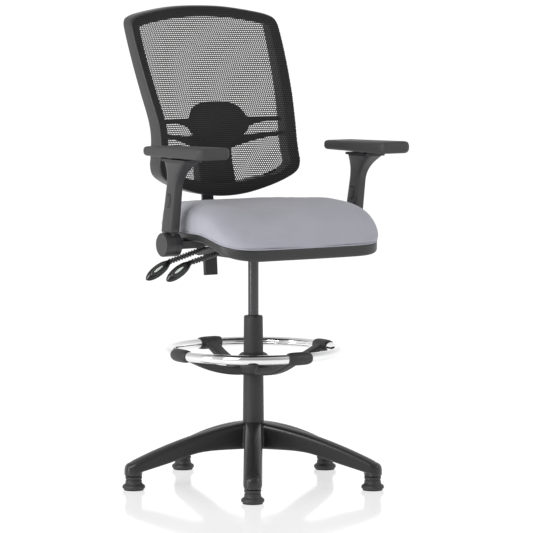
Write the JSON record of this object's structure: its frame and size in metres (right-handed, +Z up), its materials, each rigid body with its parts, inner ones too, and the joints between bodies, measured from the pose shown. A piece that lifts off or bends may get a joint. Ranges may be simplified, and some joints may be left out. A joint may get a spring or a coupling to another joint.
{
  "type": "drafting chair",
  "caption": "Drafting chair with mesh back, upholstered seat, folding height-adjustable arms, two levers, gas lift, chrome foot ring and five-star base on glides.",
  "frame": {"origin": "on the floor, on the axis of the column, in the plane of the five glide soles", "axes": "+Z up along the column; -Y is the way the sitter faces; +X is the sitter's left; the two levers are on the -X side"},
  "size_m": [0.6865, 0.6677, 1.265],
  "materials": {
    "nylon": "fine-textured black nylon of the base, column and foot ring spider",
    "arm_plastic": "dark grey textured polypropylene of the arms",
    "pad_foam": "matt integral-skin polyurethane",
    "pan_plastic": "charcoal moulded polypropylene of the seat pan",
    "frame_plastic": "satin black glass-filled nylon of the back frame",
    "back_mesh": "open black polyester net",
    "seat_fabric": "plain woven pale grey polyester with a lavender cast",
    "gloss_black": "glossy black lever paddles",
    "black_rubber": "corrugated black sleeve",
    "black_steel": "black powder coat",
    "zinc_steel": "zinc plated or ground steel",
    "spring_steel": "oiled spring wire",
    "ring_chrome": "polished chrome tube",
    "plywood": "birch plywood",
    "felt": "dark felt glide sole"
  },
  "bodies": {
    "base": {"base_star": "nylon", "hub_ring": "zinc_steel", "glide_bodies": "nylon", "glide_stems": "zinc_steel", "glide_soles": "felt", "stand_tube": "nylon", "guide_bush": "nylon", "rod_clip": "zinc_steel", "thrust_bearing": "zinc_steel"},
    "swivel": {"piston_rod": "zinc_steel", "piston": "zinc_steel", "thrust_washer": "zinc_steel"},
    "seat": {"gas_cylinder": "black_steel", "mechanism_body": "black_steel", "taper_bush": "zinc_steel", "hinge_pin": "zinc_steel", "back_spring": "spring_steel", "seat_pan": "pan_plastic", "seat_board": "plywood", "seat_cushion": "seat_fabric", "seat_bolts": "zinc_steel", "tee_nuts": "zinc_steel", "arm_bracket_left": "black_steel", "arm_bracket_right": "black_steel", "bracket_covers": "arm_plastic", "arm_bolts": "zinc_steel", "arm_pins": "zinc_steel"},
    "valve": {"valve_pin": "zinc_steel"},
    "height_lever": {"height_lever_rod": "black_steel", "height_lever_bellows": "black_rubber", "height_lever_paddle": "gloss_black"},
    "tilt_lever": {"tilt_lever_rod": "black_steel", "tilt_lever_bellows": "black_rubber", "tilt_lever_paddle": "gloss_black"},
    "back_arm": {"back_bracket": "black_steel", "back_upright": "black_steel", "upright_cover": "pan_plastic", "bracket_bolts": "zinc_steel"},
    "backrest": {"back_frame": "frame_plastic", "back_yoke": "frame_plastic", "back_mesh": "back_mesh", "mesh_spline": "frame_plastic", "ratchet_housing": "frame_plastic", "back_screws": "zinc_steel"},
    "lumbar": {"lumbar_pad": "frame_plastic"},
    "foot_ring": {"ring_tube": "ring_chrome", "ring_spider": "nylon", "ring_collet": "nylon"},
    "ring_screw": {"ring_knob": "nylon"},
    "arm_lower_left": {"arm_hub_left": "arm_plastic"},
    "arm_upper_left": {"arm_sleeve_left": "arm_plastic", "arm_plate_left": "black_steel", "arm_pad_left": "pad_foam"},
    "button_left": {"arm_button_left": "arm_plastic"},
    "arm_lower_right": {"arm_hub_right": "arm_plastic"},
    "arm_upper_right": {"arm_sleeve_right": "arm_plastic", "arm_plate_right": "black_steel", "arm_pad_right": "pad_foam"},
    "button_right": {"arm_button_right": "arm_plastic"}
  },
  "joints": [
    {"name": "seat_swivel", "type": "hinge", "parent": "base", "child": "swivel", "pos_m": [0, 0, 0.35], "axis": [0, 0, 1], "continuous": true},
    {"name": "seat_height", "type": "slide", "parent": "swivel", "child": "seat", "axis": [0, 0, 1], "range_m": [-0.13, 0.06]},
    {"name": "height_lever_pull", "type": "hinge", "parent": "seat", "child": "height_lever", "pos_m": [-0.036, -0.072, 0.64], "axis": [0, 1, 0], "range_deg": [0, 5], "stiffness_Nm_per_rad": 6, "springref_deg": -6.88},
    {"name": "valve_press", "type": "slide", "parent": "seat", "child": "valve", "axis": [0, 0, 1], "range_m": [-0.0033, 0]},
    {"name": "tilt_lever_pull", "type": "hinge", "parent": "seat", "child": "tilt_lever", "pos_m": [-0.036, 0.032, 0.64], "axis": [0, 1, 0], "range_deg": [0, 5], "stiffness_Nm_per_rad": 6, "springref_deg": -6.88},
    {"name": "back_tilt", "type": "hinge", "parent": "seat", "child": "back_arm", "pos_m": [0, 0.088, 0.622], "axis": [-1, 0, 0], "range_deg": [-5, 14]},
    {"name": "back_height", "type": "slide", "parent": "back_arm", "child": "backrest", "axis": [0, 0.0785, 0.9969], "range_m": [0, 0.07]},
    {"name": "lumbar_height", "type": "slide", "parent": "backrest", "child": "lumbar", "axis": [0, 0.0785, 0.9969], "range_m": [-0.012, 0.018]},
    {"name": "ring_height", "type": "slide", "parent": "base", "child": "foot_ring", "axis": [0, 0, 1], "range_m": [-0.05, 0.06]},
    {"name": "ring_screw_turn", "type": "hinge", "parent": "foot_ring", "child": "ring_screw", "pos_m": [-0.03535, 0.03535, 0.309], "axis": [-0.7071, 0.7071, 0], "range_deg": [0, 360]},
    {"name": "arm_fold_left", "type": "hinge", "parent": "seat", "child": "arm_lower_left", "pos_m": [0.29, -0.042, 0.654], "axis": [-1, 0, 0], "range_deg": [0, 90]},
    {"name": "arm_height_left", "type": "slide", "parent": "arm_lower_left", "child": "arm_upper_left", "axis": [0, -0.1857, 0.9826], "range_m": [0, 0.07]},
    {"name": "arm_button_press_left", "type": "slide", "parent": "arm_upper_left", "child": "button_left", "axis": [1, 0, 0], "range_m": [0, 0.003], "stiffness_N_per_m": 400, "springref_m": -0.002},
    {"name": "arm_fold_right", "type": "hinge", "parent": "seat", "child": "arm_lower_right", "pos_m": [-0.29, -0.042, 0.654], "axis": [-1, 0, 0], "range_deg": [0, 90]},
    {"name": "arm_height_right", "type": "slide", "parent": "arm_lower_right", "child": "arm_upper_right", "axis": [0, -0.1857, 0.9826], "range_m": [0, 0.07]},
    {"name": "arm_button_press_right", "type": "slide", "parent": "arm_upper_right", "child": "button_right", "axis": [1, 0, 0], "range_m": [0, 0.003], "stiffness_N_per_m": 400, "springref_m": -0.002}
  ],
  "couplings": [
    {"joint": "valve_press", "follows": "height_lever_pull", "m_per_rad": -0.036}
  ]
}
